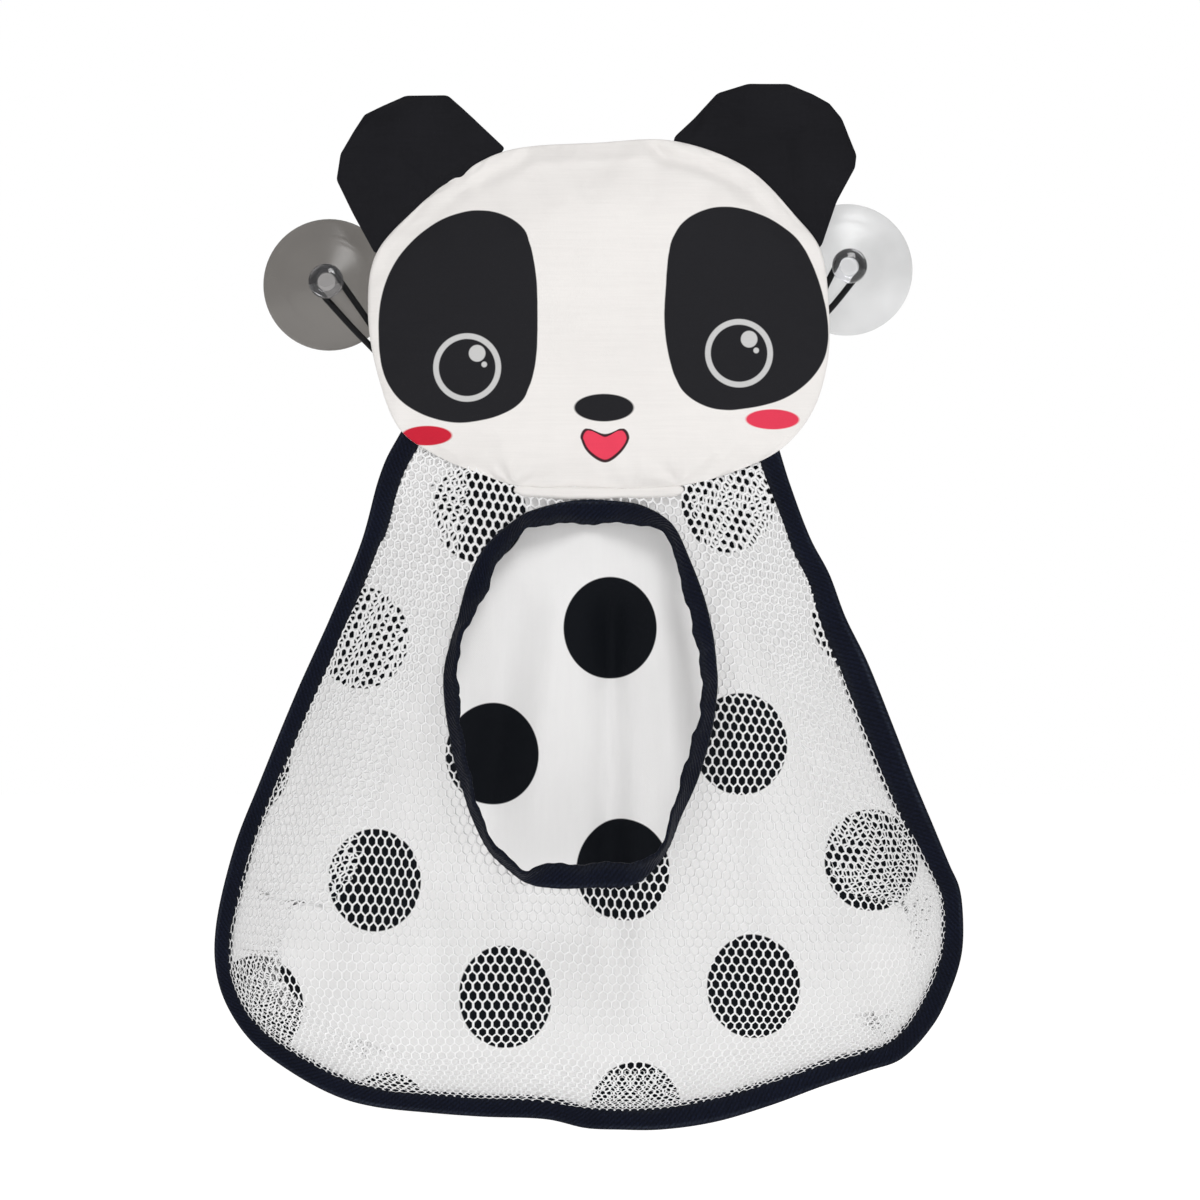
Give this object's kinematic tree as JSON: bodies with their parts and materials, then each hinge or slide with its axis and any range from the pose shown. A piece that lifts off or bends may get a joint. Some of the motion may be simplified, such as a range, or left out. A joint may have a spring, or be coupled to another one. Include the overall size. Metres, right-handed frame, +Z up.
{
  "type": "bath toy organizer",
  "caption": "Wall-hung net bag for bath toys: padded panda head, bound hand opening, dotted back cloth, clear suction cups on elastic loops.",
  "frame": {"origin": "on the wall plane, level with the two suction cups and near midway between them", "axes": "+Z up, +Y into the wall, so the front faces -Y; +X to the right as seen from the front"},
  "size_m": [0.2814, 0.0494, 0.3936],
  "materials": {
    "white_cloth": "matt woven polyester with a light sheen",
    "dotted_cloth": "matt woven polyester with black printed dots",
    "dark_cloth": "matt woven polyester",
    "foam": "soft open foam, not seen",
    "net_thread": "knitted hexagon net of white thread",
    "binding_tape": "matt twill tape",
    "elastic_cord": "covered elastic cord",
    "clear_vinyl": "clear soft vinyl, glossy"
  },
  "bodies": {
    "head": {"head_front": "white_cloth", "head_back": "white_cloth", "head_foam": "foam", "chin_hem": "white_cloth"},
    "left_ear": {"left_ear_front": "dark_cloth", "left_ear_back": "dark_cloth", "left_ear_foam": "foam"},
    "right_ear": {"right_ear_front": "dark_cloth", "right_ear_back": "dark_cloth", "right_ear_foam": "foam"},
    "bag": {"back_panel": "dotted_cloth", "front_net": "net_thread", "edge_binding": "binding_tape", "opening_binding": "binding_tape"},
    "left_loop": {"left_elastic_loop": "elastic_cord"},
    "left_cup": {"left_suction_cup": "clear_vinyl"},
    "right_loop": {"right_elastic_loop": "elastic_cord"},
    "right_cup": {"right_suction_cup": "clear_vinyl"}
  },
  "joints": [
    {"name": "bag_swing", "type": "hinge", "parent": "head", "child": "bag", "pos_m": [0, -0.016, -0.08395], "axis": [-1, 0, 0], "range_deg": [0, 45]},
    {"name": "left_ear_fold", "type": "hinge", "parent": "head", "child": "left_ear", "pos_m": [-0.0619, -0.014, 0.03086], "axis": [0.7821, 0, 0.6232], "range_deg": [-10, 40], "stiffness_Nm_per_rad": 0.02},
    {"name": "right_ear_fold", "type": "hinge", "parent": "head", "child": "right_ear", "pos_m": [0.06125, -0.014, 0.0368], "axis": [0.8057, 0, -0.5924], "range_deg": [-10, 40], "stiffness_Nm_per_rad": 0.02},
    {"name": "left_loop_swing", "type": "hinge", "parent": "head", "child": "left_loop", "pos_m": [-0.07636, -0.011, -0.034], "axis": [0, -1, 0], "range_deg": [-5, 95]},
    {"name": "right_loop_swing", "type": "hinge", "parent": "head", "child": "right_loop", "pos_m": [0.08049, -0.011, -0.019], "axis": [0, 1, 0], "range_deg": [0, 95]},
    {"name": "left_cup_turn", "type": "hinge", "parent": "left_loop", "child": "left_cup", "pos_m": [-0.10152, -0.0114, -0.0025], "axis": [0, -1, 0], "continuous": true},
    {"name": "right_cup_turn", "type": "hinge", "parent": "right_loop", "child": "right_cup", "pos_m": [0.09456, -0.0114, 0.0032], "axis": [0, -1, 0], "continuous": true}
  ]
}
